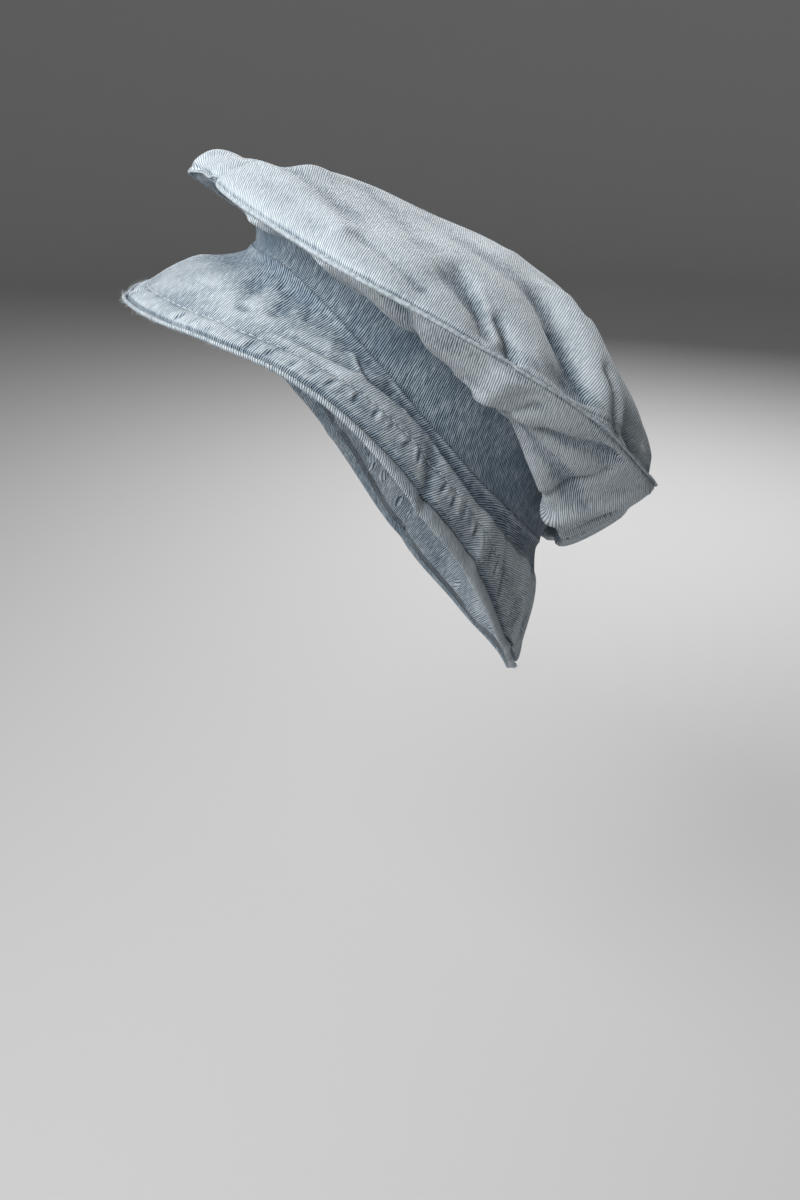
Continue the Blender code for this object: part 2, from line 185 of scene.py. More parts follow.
def around(table, names, name, angles, pointed_back=False):
    """A column read at any angle round the cap. The right side mirrors the left."""
    values = column(table, names, name)
    step = 180.0 / (len(values) - 1)
    beyond = 2 * values[-1] - values[-2] if pointed_back else values[-2]
    padded = np.concatenate([[values[1]], values, [beyond, beyond]])
    folded = np.abs((np.asarray(angles, float) + 180.0) % 360.0 - 180.0)
    place = folded / step
    index = np.minimum(place.astype(int), len(values) - 1)
    share = place - index
    a, b, c, d = (padded[index + k] for k in range(4))
    return 0.5 * (2 * b + (c - a) * share + (2 * a - 5 * b + 4 * c - d) * share ** 2
                  + (3 * b - a - 3 * c + d) * share ** 3)


def seam_reach(angles):
    """How far the band's lower seam lies from the cap's axis: an egg, longer at the back."""
    turn = np.radians(angles)
    front = OPENING_LENGTH * OPENING_FRONT_SHARE
    back = OPENING_LENGTH - front
    length = np.where(np.cos(turn) > 0, front, back)
    return 1.0 / np.sqrt((np.cos(turn) / length) ** 2 + (2 * np.sin(turn) / OPENING_WIDTH) ** 2)


def smooth_path(before, knots, counts):
    """A curve through the knots (stations, knots, 2), with so many steps between each two. It
    starts as if it came from the knots before."""
    after = 2 * knots[:, -1:] - knots[:, -2:-1]
    padded = np.concatenate([before[:, None], knots, after], axis=1)
    pieces = []
    for index, count in enumerate(counts):
        a, b, c, d = (padded[:, index + k][:, None, :] for k in range(4))
        share = (np.arange(count) / count)[None, :, None]
        gap_ab = np.maximum(np.linalg.norm(b - a, axis=-1, keepdims=True), 1e-9)
        gap_bc = np.maximum(np.linalg.norm(c - b, axis=-1, keepdims=True), 1e-9)
        gap_cd = np.maximum(np.linalg.norm(d - c, axis=-1, keepdims=True), 1e-9)
        start = gap_bc * ((b - a) / gap_ab + (c - b) / gap_bc) / 2
        end = gap_bc * ((c - b) / gap_bc + (d - c) / gap_cd) / 2
        leaving = (2 * share ** 3 - 3 * share ** 2 + 1) * b + (share ** 3 - 2 * share ** 2 + share) * start
        reaching = (3 * share ** 2 - 2 * share ** 3) * c + (share ** 3 - share ** 2) * end
        pieces.append(leaving + reaching)
    pieces.append(knots[:, -1:])
    return np.concatenate(pieces, axis=1)


def worn(reach, height, angles):
    """Points of the tipped cap from their reach, height and angle round it."""
    turn = np.radians(angles)
    across = reach * np.sin(turn)
    along = -reach * np.cos(turn)
    tilt = math.radians(WEAR_TILT)
    back = along * math.cos(tilt) + height * math.sin(tilt)
    up = -along * math.sin(tilt) + height * math.cos(tilt)
    return np.stack([across, back, up], axis=-1)


def crown_knots(angles):
    """The crown's section at each angle, from the top's middle over the rim down to the band."""
    def read(name):
        return around(CROWN_STATIONS, CROWN_COLUMNS, name, angles)

    rim = np.stack([read("rim_reach") * CROWN_RADIUS, read("rim_height") * CROWN_HEIGHT], axis=-1)

    def top_knot(share, height):
        return np.stack([rim[:, 0] * share, height * CROWN_HEIGHT], axis=-1)

    apex = top_knot(0.0, np.full(len(angles), APEX_HEIGHT_SHARE))
    inner = top_knot(INNER_REACH_SHARE, read("inner_height"))
    outer = top_knot(OUTER_REACH_SHARE, read("outer_height"))
    shoulder = top_knot(SHOULDER_REACH_SHARE, read("shoulder_height"))
    neck = band_knots(angles)[0]

    def hanging_knot(place, height):
        return np.stack([neck[:, 0] + place * (rim[:, 0] - neck[:, 0]), height * CROWN_HEIGHT], axis=-1)

    under = hanging_knot(read("under_place"), read("under_height"))
    belly = hanging_knot(read("belly_place"), read("belly_height"))
    outward = rim - (shoulder + under) / 2
    outward /= np.linalg.norm(outward, axis=-1, keepdims=True)
    upward = np.stack([-outward[:, 1], outward[:, 0]], axis=-1)
    rim_top = rim - RIM_ROLL * outward + RIM_ROLL * upward
    rim_bottom = rim - RIM_ROLL * outward - RIM_ROLL * upward
    return apex, inner, outer, shoulder, rim_top, rim, rim_bottom, under, belly


def band_knots(angles):
    """The band's section at each angle, from its upper seam to its lower one."""
    lean = around(BAND_STATIONS, BAND_COLUMNS, "lean", angles)
    stand = around(BAND_STATIONS, BAND_COLUMNS, "stand", angles)
    seam_height = around(BAND_STATIONS, BAND_COLUMNS, "seam_height", angles) * BAND_HEIGHT
    seam = np.stack([seam_reach(angles), seam_height], axis=-1)
    upper = seam + BAND_HEIGHT * np.stack([lean, stand], axis=-1)
    return upper, seam


def brim_knots(angles):
    """The brim's section at each angle, from its seam to the middle of its rolled edge."""
    upper, seam = band_knots(angles)
    width = (around(BRIM_STATIONS, BRIM_COLUMNS, "peak_part", angles) * PEAK_LENGTH
             + around(BRIM_STATIONS, BRIM_COLUMNS, "side_part", angles) * SIDE_BRIM_WIDTH
             + around(BRIM_STATIONS, BRIM_COLUMNS, "tail_part", angles, pointed_back=True) * TAIL_LENGTH)
    slope = np.radians(around(BRIM_STATIONS, BRIM_COLUMNS, "slope", angles))
    bow = around(BRIM_STATIONS, BRIM_COLUMNS, "bow", angles)
    outward = np.stack([np.cos(slope), -np.sin(slope)], axis=-1)
    raised = np.stack([np.sin(slope), np.cos(slope)], axis=-1)
    middle = seam + outward * (width / 2)[:, None] + raised * (width * bow)[:, None]
    edge = seam + outward * width[:, None]
    lip = edge - outward * (strip_size("width", angles) + LIP_CLEARANCE)[:, None]
    return seam, middle, lip, edge


def ring_normals(points):
    """Unit normals that point into the cap, and unit tangents along the section."""
    round_step = np.roll(points, -1, axis=0) - np.roll(points, 1, axis=0)
    along = np.gradient(points, axis=1)
    normal = np.cross(round_step, along)
    normal /= np.maximum(np.linalg.norm(normal, axis=-1, keepdims=True), 1e-12)
    along /= np.maximum(np.linalg.norm(along, axis=-1, keepdims=True), 1e-12)
    return normal, along


def unrolled(angles, shares):
    """Flat places of the cloth: the top's disc, with what hangs below it spread around it."""
    turn = np.radians(angles)
    return np.stack([shares * np.sin(turn), -shares * np.cos(turn)], axis=-1)


def fold_heights(folds, places, size, sharpness=2.0):
    """How far the folds raise the cloth at its flat places."""
    total = np.zeros(places.shape[:-1])
    for row in folds:
        fold = dict(zip(FOLD_COLUMNS, row))
        start = unrolled(fold["start_angle"], fold["start_share"])
        run = unrolled(fold["end_angle"], fold["end_share"]) - start
        share = np.clip((places - start) @ run / (run @ run), 0.0, 1.0)
        distance = np.linalg.norm(places - start - share[..., None] * run, axis=-1)
        total += fold["height"] * size * np.exp(-(distance / fold["width"]) ** sharpness)
    return total


# The gap between the brim's lip and the strip beyond it
LIP_CLEARANCE = 0.0004

# The brim's lower layer rolls out past the hem as that strip, by the angle from the front: how far
# it reaches in from the brim's edge and out past it, and half its thickness
STRIP_COLUMNS = ("angle", "width", "reach_out", "half_thickness")
STRIP_STATIONS = (
    (0, 0.0010, 0.0008, 0.0010),
    (30, 0.0010, 0.0008, 0.0010),
    (60, 0.0020, 0.0020, 0.0014),
    (90, 0.0050, 0.0036, 0.0018),
    (120, 0.0048, 0.0034, 0.0018),
    (150, 0.0022, 0.0018, 0.0016),
    (180, 0.0014, 0.0015, 0.0014),
)

# The hem by the angle from the front, in metres from the brim's lip: its inner stitch line, the
# middle of its puckers, and the ridge where the facing ends underneath, with that ridge's height
HEM_COLUMNS = ("angle", "stitch", "pucker", "ridge", "ridge_height")
HEM_STATIONS = (
    (0, 0.0100, 0.0050, 0.0160, 0.0),
    (15, 0.0100, 0.0050, 0.0160, 0.0),
    (30, 0.0098, 0.0050, 0.0150, 0.0),
    (45, 0.0102, 0.0055, 0.0150, 0.0006),
    (60, 0.0125, 0.0080, 0.0195, 0.0015),
    (75, 0.0135, 0.0092, 0.0225, 0.0016),
    (90, 0.0135, 0.0096, 0.0205, 0.0016),
    (105, 0.0135, 0.0094, 0.0185, 0.0016),
    (120, 0.0140, 0.0090, 0.0250, 0.0014),
    (135, 0.0140, 0.0085, 0.0320, 0.0010),
    (150, 0.0130, 0.0075, 0.0380, 0.0004),
    (165, 0.0120, 0.0065, 0.0400, 0.0),
    (180, 0.0115, 0.0060, 0.0400, 0.0),
)

# Finer folds that only the looks need, in the same columns as the main ones
FINE_CROWN_FOLDS = (
    (8, 0.93, 38, 0.94, 0.034, 0.040),
    (40, 0.92, 56, 0.95, -0.014, 0.030),
    (56, 0.74, 69, 0.94, -0.024, 0.030),
    (70, 0.86, 76, 0.98, -0.020, 0.020),
    (63, 0.80, 72, 0.95, 0.014, 0.026),
    (84, 0.74, 92, 0.93, -0.022, 0.028),
    (97, 0.84, 101, 0.98, -0.026, 0.022),
    (340, 0.80, 2, 0.86, -0.030, 0.075),
    (338, 0.97, 354, 0.99, 0.030, 0.040),
    (6, 0.95, 7, 1.10, -0.036, 0.030),
    (104, 0.70, 110, 0.94, -0.030, 0.034),
    (112, 0.60, 116, 0.92, 0.020, 0.040),
    (96, 0.62, 103, 0.95, 0.018, 0.026),
    (48, 0.60, 66, 0.74, 0.010, 0.070),
    (20, 0.60, 44, 0.72, -0.010, 0.060),
    (132, 0.66, 137, 0.93, 0.022, 0.040),
    (140, 0.70, 143, 0.94, -0.022, 0.032),
    (158, 0.62, 160, 0.93, 0.024, 0.042),
    (171, 0.66, 172, 0.94, -0.022, 0.036),
    (186, 0.70, 184, 0.94, 0.022, 0.038),
    (212, 0.66, 209, 0.93, -0.024, 0.036),
    (236, 0.70, 231, 0.94, -0.020, 0.034),
    (246, 0.66, 243, 0.93, 0.022, 0.040),
    (292, 0.70, 288, 0.93, -0.018, 0.034),
    (306, 0.62, 312, 0.90, 0.014, 0.060),
    (334, 0.72, 340, 0.92, -0.014, 0.040),
    (22, 1.14, 27, 1.40, 0.030, 0.040),
    (40, 1.15, 44, 1.55, 0.018, 0.040),
    (72, 1.55, 92, 1.45, 0.014, 0.040),
    (86, 1.30, 84, 1.70, -0.014, 0.034),
    (92, 1.62, 116, 1.50, -0.055, 0.110),
    (112, 1.30, 116, 1.70, -0.022, 0.036),
    (136, 1.40, 134, 1.80, -0.020, 0.036),
    (156, 1.35, 158, 1.80, 0.022, 0.040),
    (184, 1.35, 186, 1.80, -0.020, 0.036),
    (216, 1.40, 214, 1.80, 0.022, 0.040),
    (256, 1.35, 250, 1.80, 0.020, 0.040),
    (284, 1.40, 280, 1.75, -0.018, 0.036),
    (330, 1.30, 326, 1.60, 0.016, 0.040),
)
FINE_BRIM_FOLDS = (
    (21, 1.07, 23, 1.12, -0.022, 0.022),
    (33, 1.10, 36, 1.18, -0.020, 0.022),
    (42, 1.12, 47, 1.32, 0.014, 0.034),
    (50, 1.15, 56, 1.26, 0.026, 0.024),
    (53, 1.14, 58, 1.24, -0.024, 0.020),
    (57, 1.22, 61, 1.15, 0.022, 0.022),
    (61, 1.20, 65, 1.12, -0.018, 0.020),
    (67, 1.10, 70, 1.16, 0.020, 0.022),
    (74, 1.08, 78, 1.14, -0.018, 0.022),
    (83, 1.08, 85, 1.15, 0.020, 0.022),
    (91, 1.08, 93, 1.15, -0.018, 0.022),
    (101, 1.08, 102, 1.18, 0.020, 0.022),
    (112, 1.10, 114, 1.20, -0.018, 0.022),
    (98, 1.30, 99, 1.60, 0.020, 0.034),
    (124, 1.20, 127, 1.70, -0.035, 0.036),
    (150, 1.20, 156, 1.70, 0.035, 0.036),
    (206, 1.20, 202, 1.70, 0.035, 0.036),
    (236, 1.20, 234, 1.70, -0.035, 0.036),
    (266, 1.20, 265, 1.70, 0.030, 0.034),
    (300, 1.20, 301, 1.60, -0.030, 0.030),
    (346, 1.85, 332, 1.75, -0.130, 0.260),
)

# How the worn crown sags or lifts round a place, given by its angle and share as above: metres to
# the left, back and up, and the half width of the sag as a share of CROWN_RADIUS
SHIFT_COLUMNS = ("angle", "share", "left", "back", "up", "width")
CROWN_SHIFTS = (
    (351, 0.87, 0.0, 0.001, -0.0075, 0.085),
    (8, 0.78, 0.0, 0.0, 0.0040, 0.075),
    (330, 0.92, 0.0, 0.0, -0.0030, 0.090),
)


def shifts(places):
    """How far each flat place of the crown is moved by its sags."""
    total = np.zeros((*places.shape[:-1], 3))
    for row in CROWN_SHIFTS:
        shift = dict(zip(SHIFT_COLUMNS, row))
        distance = np.linalg.norm(places - unrolled(shift["angle"], shift["share"]), axis=-1)
        move = np.array([shift["left"], shift["back"], shift["up"]])
        total += hump(distance, shift["width"])[..., None] * move
    return total


def strip_size(name, angles):
    """A size of the rolled strip at any angle."""
    return around(STRIP_STATIONS, STRIP_COLUMNS, name, angles)


# The hem's puckers in metres, their slant as a run to a rise, and the puff beside each as a share
# of its depth
PUCKER_SPACING = (0.0075, 0.0125)
PUCKER_DEPTH = 0.0012
PUCKER_SHIFT = 0.0012
PUCKER_HALF_WIDTH = 0.0011
PUCKER_HALF_LENGTH = 0.0027
PUCKER_SLANT = 0.45
PUFF_SHARE = 0.55
HEM_FULLNESS = 0.0005

# The ridge where the facing ends under the brim: its half widths on the lip's side and beyond,
# then the crease behind it, as a share of its height, its distance and its half width
RIDGE_HALF_WIDTHS = (0.0075, 0.0017)
RIDGE_CREASE = (-0.7, 0.0044, 0.0026)

# The cloth is full at the front, below the crown's seam with the band: metres, and degrees round
# the cap
NECK_FULLNESS = 0.0100
NECK_FULLNESS_ANGLE = -10.0
NECK_FULLNESS_REACH = 34.0
NECK_FULLNESS_DROP = 0.008
NECK_FULLNESS_HALF_WIDTH = 0.013

# Beads and grooves along the seams: height, distance below the seam and half width, in metres
STITCH_GROOVE = (-0.00025, 0.0, 0.0009)
LIP_GROOVE = (-0.0005, 0.0, 0.0008)
RIM_GROOVES = (-0.0008, 0.0013, 0.0008)
NECK_GROOVE = (-0.0012, 0.0, 0.0030)
BROW_RIDGE = (0.0009, 0.0012, 0.0018)
BROW_GROOVE = (-0.0004, -0.0012, 0.0008)

# Painted shade in the seams' grooves: how much of the worn paleness it takes away, darkening the cloth
# there, and where, like the grooves but with a share of it
GROOVE_SHADE = 0.8
RIM_SHADE = (1.0, 0.0012, 0.0008)
BROW_SHADE = (1.0, -0.0014, 0.0009)
LIP_SHADE = (1.0, 0.0, 0.0009)

# Small wrinkles all over: their size and height in metres
WRINKLE_SIZES = ((0.034, 0.00035), (0.013, 0.00020), (0.006, 0.00008))

# How far the wear looks round a point, in grid steps, and the height over its surroundings, in metres, at
# which cloth is fully worn. Ridges come out paler as real wear, and creases and seam grooves come out
# darker as painted shade.
WEAR_AND_SHADE_REACHES = ((4, 0.00022), (14, 0.0016))

# The rope-like ridge of the rim's seam, by the angle from the front
RIM_SEAM_COLUMNS = ("angle", "radius")
RIM_SEAM_STATIONS = (
    (0, 0.0006),
    (30, 0.0010),
    (60, 0.0010),
    (90, 0.0007),
    (120, 0.0006),
    (150, 0.0006),
    (180, 0.0006),
)

# The strip's section runs from its back round its outside, in degrees
STRIP_TURN = (205.0, -150.0)

# Thread, rope and frays, in metres
RIM_ROPE_PITCH = 0.0028
RIM_ROPE_TWIST = 0.10
RIM_LUMP_SIZE = 0.012
RIM_LUMP_SHARE = 0.18
RIM_SEAM_DROP = 0.0006
STITCH_PITCH = 0.0042
STITCH_LENGTH = 0.0034
STITCH_RADIUS = 0.00030
STITCH_RINGS = 5
STITCH_SIDES = 6
FRAY_COUNT = 1500
FRAY_TUFTS = 26
FRAYS_IN_TUFT = 14
FRAY_TUFT_ANGLES = (14.0, 52.0, 53.5)
FRAY_TUFT_SPREADS = (0.0016, 0.0022)
FRAY_ROOTS_OUT = (-0.0004, 0.0012)
FRAY_ROOTS_UP = (-0.0012, 0.0013)
FRAY_LENGTH = 0.0012
FRAY_RADIUS = 0.00005
FRAY_RINGS = 4
FRAY_SIDES = 3

TWILL_PITCH = 0.00097


def knot_spread(values, counts):
    """Values that are given at the knots, spread evenly over the steps between them."""
    ends = np.cumsum([0, *counts])
    return np.interp(np.arange(ends[-1] + 1), ends, values)


def hump(distance, half_width):
    """A smooth hump of height 1 at distance 0."""
    return np.exp(-(distance / half_width) ** 2)


def bead(distance, height, place, half_width):
    """The relief of a bead or groove that runs along a seam, at that distance from the seam."""
    return height * hump(distance - place, half_width)


def cloth_noise(points, size, seed):
    """Smooth noise from about -1 to 1 at points, with waves about that size across."""
    shift = Vector((seed * 1.7, seed * 2.3, seed * 3.1))
    values = [noise.noise(Vector(point) + shift) for point in (points / size).reshape(-1, 3)]
    return np.array(values).reshape(points.shape[:-1])


def blurred(grid, reach):
    """A grid of points averaged over the steps around each, closed round the cap."""
    for _ in range(2):
        total = sum(np.roll(grid, step, axis=0) for step in range(-reach, reach + 1))
        grid = total / (2 * reach + 1)
        padded = np.concatenate([grid[:, :1]] * reach + [grid] + [grid[:, -1:]] * reach, axis=1)
        total = sum(padded[:, step:step + grid.shape[1]] for step in range(2 * reach + 1))
        grid = total / (2 * reach + 1)
    return grid


def wear_and_shade_of(points, inward):
    """How worn each point is, with painted shade: towards 1 on ridges, which are worn paler, and towards 0
    in creases and seam grooves, which are painted darker as shade.
    """
    wear_and_shade = np.full(points.shape[:-1], 0.5)
    for reach, full_height in WEAR_AND_SHADE_REACHES:
        rise = -((points - blurred(points, reach)) * inward).sum(-1)
        wear_and_shade += 0.25 * np.tanh(rise / full_height)
    return np.clip(wear_and_shade, 0.0, 1.0)


def puckers(angles, round_length, lip_distance):
    """The hem's relief between its edge and its inner stitch line: a full roll with dimples, and
    the ridge of the facing's end beside a crease."""
    random = np.random.default_rng(7)
    stitch, pucker, ridge, ridge_height = (around(HEM_STATIONS, HEM_COLUMNS, name, angles)[:, None]
                                           for name in HEM_COLUMNS[1:])
    inside = np.clip(lip_distance / stitch, 0.0, 1.0)
    relief = HEM_FULLNESS * np.sin(math.pi * inside) ** 0.8
    relief += bead(lip_distance - stitch, *STITCH_GROOVE)
    relief += bead(lip_distance, *LIP_GROOVE)
    beyond = lip_distance - ridge
    before, behind = (hump(beyond, half_width) for half_width in RIDGE_HALF_WIDTHS)
    relief += ridge_height * np.where(beyond < 0, before, behind)
    relief += ridge_height * bead(beyond, *RIDGE_CREASE)
    loop = round_length[-1]
    along = round_length[:-1, None]
    place = 0.0
    while place < loop - PUCKER_SPACING[0]:
        strength = random.uniform(0.30, 1.0)
        centre = pucker + random.uniform(-PUCKER_SHIFT, PUCKER_SHIFT)
        slant = random.uniform(-PUCKER_SLANT, PUCKER_SLANT)
        side = random.choice((-1.0, 1.0))
        across = (along - place + loop / 2) % loop - loop / 2 - slant * (lip_distance - centre)
        near = np.abs(across[:, 0]) < 12 * PUCKER_HALF_WIDTH
        reach = hump((lip_distance - centre)[near], PUCKER_HALF_LENGTH * random.uniform(0.8, 1.25))
        puff = hump(across[near] - 2.4 * side * PUCKER_HALF_WIDTH, 1.6 * PUCKER_HALF_WIDTH)
        relief[near] -= PUCKER_DEPTH * strength * reach * hump(across[near], PUCKER_HALF_WIDTH)
        relief[near] += PUFF_SHARE * PUCKER_DEPTH * strength * reach * puff
        place += random.uniform(*PUCKER_SPACING)
    return relief


class Cloth:
    """The cap's outer cloth as one fine grid, stations round it by columns down its section."""

    def __init__(self, angles):
        self.angles = angles
        counts = [*TOP_STEPS, *SIDE_STEPS, *BAND_STEPS, *BRIM_STEPS, 1]
        ends = np.cumsum([len(TOP_STEPS), len(SIDE_STEPS), len(BAND_STEPS), len(BRIM_STEPS)])
        self.rim, self.neck, self.brow, self.lip = (int(sum(counts[:end])) for end in ends)
        knots = [*crown_knots(angles), *band_knots(angles), *brim_knots(angles)[1:]]
        across_the_top = crown_knots(angles + 180.0)[1] * (-1.0, 1.0)
        path = smooth_path(across_the_top, np.stack(knots, axis=1), counts)
        steps = np.linalg.norm(np.diff(path, axis=1), axis=-1)
        self.down = np.concatenate([np.zeros((len(angles), 1)), np.cumsum(steps, axis=1)], axis=1)
        self.smooth = worn(path[..., 0], path[..., 1], angles[:, None])
        self.crown_places = self.places_on_crown(path, counts)
        self.smooth[:, :self.neck + 1] += shifts(self.crown_places)
        inward, _ = ring_normals(self.smooth)
        self.points = self.smooth - inward * self.relief()[..., None]
        self.inward, self.along = ring_normals(self.points)
        # Worn paleness with painted shade in creases, less the painted shade along the seams' grooves
        self.wear_and_shade = np.clip(wear_and_shade_of(self.points, self.inward) - GROOVE_SHADE * self.grooves, 0.0, 1.0)

    def round_length(self, at):
        """The length round the cap at a column, from its first station to each and back to it."""
        loop = np.concatenate([self.smooth[:, at], self.smooth[:1, at]])
        steps = np.linalg.norm(np.diff(loop, axis=0), axis=-1)
        return np.concatenate([[0.0], np.cumsum(steps)])

    def places_on_crown(self, path, counts):
        """Flat places of the crown's top and side, on which its folds are drawn."""
        top_shares = path[:, :self.rim, 0] / path[:, self.rim, 0][:, None]
        side_counts = counts[len(TOP_STEPS):len(TOP_STEPS) + len(SIDE_STEPS)]
        side_shares = knot_spread(SIDE_KNOT_SHARES, side_counts)[None].repeat(len(path), axis=0)
        shares = np.concatenate([top_shares, side_shares], axis=1)
        return unrolled(self.angles[:, None], shares)

    def relief(self):
        """How far the folds, seams, puckers and wrinkles raise each point."""
        down = self.down
        raised = np.zeros(down.shape)
        crown = slice(0, self.neck + 1)
        raised[:, crown] += fold_heights(CROWN_FOLDS, self.crown_places, CROWN_HEIGHT)
        raised[:, crown] += fold_heights(FINE_CROWN_FOLDS, self.crown_places, CROWN_HEIGHT, 1.7)
        raised[:, 0] = raised[:, 1].mean()
        raised[:, self.neck] = 0.0
        brim = slice(self.brow, self.lip + 2)
        brim_shares = knot_spread(BRIM_KNOT_SHARES, [*BRIM_STEPS, 1])[None].repeat(len(down), axis=0)
        places = unrolled(self.angles[:, None], brim_shares)
        raised[:, brim] += fold_heights(BRIM_FOLDS, places, SIDE_BRIM_WIDTH)
        raised[:, brim] += fold_heights(FINE_BRIM_FOLDS, places, SIDE_BRIM_WIDTH, 1.7)
        off_front = (self.angles - NECK_FULLNESS_ANGLE + 180.0) % 360.0 - 180.0
        front = hump(off_front, NECK_FULLNESS_REACH)[:, None]
        below_neck = down - down[:, self.neck][:, None] - NECK_FULLNESS_DROP
        raised += NECK_FULLNESS * front * hump(below_neck, NECK_FULLNESS_HALF_WIDTH)
        for size, height in WRINKLE_SIZES:
            raised += height * cloth_noise(self.smooth, size, seed=size * 1000.0)
        lip_distance = down[:, self.lip][:, None] - down[:, brim]
        raised[:, brim] += puckers(self.angles, self.round_length(self.lip), lip_distance)
        rim, neck, brow = (down - down[:, at][:, None] for at in (self.rim, self.neck, self.brow))
        # Painted shade along the grooves by the rim's seam, the brow and the lip, for the cloth's colour
        self.grooves = bead(np.abs(rim), *RIM_SHADE) + bead(brow, *BROW_SHADE)
        self.grooves[:, brim] += bead(lip_distance, *LIP_SHADE)
        raised += bead(np.abs(rim), *RIM_GROOVES)
        raised += bead(neck, *NECK_GROOVE)
        raised += bead(brow, *BROW_RIDGE)
        raised += bead(brow, *BROW_GROOVE)
        return raised


# The shares of the way at the knots of the hanging side and of the brim
SIDE_KNOT_SHARES = (1.0, 1.0 + 2 / 9, 1.0 + 4 / 9, 1.0 + 6 / 9, 2.0)
BRIM_KNOT_SHARES = (1.0, 1.0 + 2 / 6, 1.0 + 5 / 6, 2.0)


# Edges bent by more degrees than this are sharp
SHARP_ANGLE = 65.0


def add_mesh(name, vertices, faces, material, corners=None, wear_and_shade=None):
    """A smooth mesh piece. corners are its flat cloth places for each face corner, in metres."""
    mesh = bpy.data.meshes.new(name)
    faces = [list(map(int, face)) for face in faces]
    mesh.from_pydata(np.asarray(vertices, float).tolist(), [], faces)
    mesh.update()
    mesh.shade_smooth()
    mesh.set_sharp_from_angle(angle=math.radians(SHARP_ANGLE))
    if corners is not None:
        flat = mesh.attributes.new("cloth", "FLOAT_VECTOR", "CORNER")
        padded = np.concatenate([corners, np.zeros((len(corners), 1))], axis=1)
        flat.data.foreach_set("vector", padded.astype(np.float32).ravel())
    if wear_and_shade is not None:
        wear_and_shade_attribute = mesh.attributes.new("wear_and_shade", "FLOAT", "POINT")
        wear_and_shade_attribute.data.foreach_set("value", np.asarray(wear_and_shade, np.float32).ravel())
    mesh.materials.append(material)
    piece = bpy.data.objects.new(name, mesh)
    bpy.context.scene.collection.objects.link(piece)
    return piece


def swept_grid(stations, sides, closed_section=True):
    """Faces of a section swept round the cap, with the station and side where each one starts."""
    last = sides if closed_section else sides - 1
    i, k = (part.ravel() for part in np.meshgrid(np.arange(stations), np.arange(last), indexing="ij"))
    j, m = (i + 1) % stations, (k + 1) % sides
    faces = np.stack([i * sides + k, i * sides + m, j * sides + m, j * sides + k], axis=1)
    return faces, i, k


def swept(rings, flat_rings, closed_section=True):
    """Faces and corner places of a section swept round the cap. flat_rings has one station more
    than rings, so that the cloth's places run on past the join."""
    sides = rings.shape[1]
    faces, i, k = swept_grid(*rings.shape[:2], closed_section)
    m = (k + 1) % sides
    corners = [flat_rings[i, k], flat_rings[i, m], flat_rings[i + 1, m], flat_rings[i + 1, k]]
    return faces, np.stack(corners, axis=1).reshape(-1, 2)


def wrapped(grid):
    """A grid with its first station repeated at the end."""
    return np.concatenate([grid, grid[:1]], axis=0)


def every(count, step):
    """Places from 0 to count - 1, that many apart, with the last one always among them."""
    return np.unique(np.append(np.arange(0, count, step), count - 1))


def shell(cloth, first, last, flat, inner_step):
    """A closed cloth wall between two seams, whose inner side takes one column in so many. flat
    holds the places for stations + 1 by columns."""
    columns = slice(first, last + 1)
    outer = cloth.points[:, columns].copy()
    outer[:, 0] += cloth.along[:, first] * SEAM_GAP / 2
    outer[:, -1] -= cloth.along[:, last] * SEAM_GAP / 2
    inner = outer + cloth.inward[:, columns] * CLOTH_THICKNESS
    back = every(outer.shape[1], inner_step)[::-1]
    rings = np.concatenate([outer, inner[:, back]], axis=1)
    flat_rings = np.concatenate([flat, flat[:, back]], axis=1)
    wear_and_shade = np.concatenate([cloth.wear_and_shade[:, columns], np.full((len(outer), len(back)), 0.5)], axis=1)
    return rings, flat_rings, wear_and_shade


def add_ring(name, cloth, first, last, flat, material, inner_step=2):
    """A cloth ring of the cap as a closed shell."""
    rings, flat_rings, wear_and_shade = shell(cloth, first, last, flat, inner_step)
    faces, corners = swept(rings, flat_rings)
    return add_mesh(name, rings.reshape(-1, 3), faces, material, corners, wear_and_shade)


def add_disc(name, cloth, flat, material, inner_step=4):
    """The crown's top as a closed shell, with one point at its middle on each side."""
    rings, flat_rings, wear_and_shade = shell(cloth, 1, cloth.rim, flat[:, 1:], inner_step)
    rings[:, 0] = cloth.points[:, 1]
    rings[:, -1] = cloth.points[:, 1] + cloth.inward[:, 1] * CLOTH_THICKNESS
    stations, sides = rings.shape[:2]
    faces, corners = swept(rings, flat_rings, closed_section=False)
    down = cloth.inward[:, 1].mean(axis=0)
    middle = cloth.points[:, 0].mean(axis=0)
    tips = [middle, middle + down / np.linalg.norm(down) * CLOTH_THICKNESS]
    vertices = np.concatenate([rings.reshape(-1, 3), tips])
    centre = stations * sides
    i = np.arange(stations)
    j = (i + 1) % stations
    fans = [(centre, a * sides, b * sides) for a, b in zip(i, j)]
    fans += [(centre + 1, b * sides + sides - 1, a * sides + sides - 1) for a, b in zip(i, j)]
    nowhere = np.zeros(2)
    fan_corners = [place for a in i for place in (nowhere, flat_rings[a, 0], flat_rings[a + 1, 0])]
    fan_corners += [place for a in i for place in (nowhere, flat_rings[a + 1, -1], flat_rings[a, -1])]
    wear_and_shade_points = np.concatenate([wear_and_shade.ravel(), [0.5, 0.5]])
    corners = np.concatenate([corners, fan_corners])
    return add_mesh(name, vertices, [*faces, *fans], material, corners, wear_and_shade_points)


def strip_outline(cloth):
    """The rolled strip's section at each station: places along and inward of the brim's edge."""
    reach_in = strip_size("width", cloth.angles)
    reach_out = strip_size("reach_out", cloth.angles)
    half_length = (reach_in + reach_out) / 2
    half_thickness = strip_size("half_thickness", cloth.angles)
    turns = np.radians(np.linspace(*STRIP_TURN, STRIP_SIDES))
    along = (reach_out - reach_in)[:, None] / 2 + half_length[:, None] * np.cos(turns)
    inward = CLOTH_THICKNESS - half_thickness[:, None] * np.sin(turns)
    return along, inward


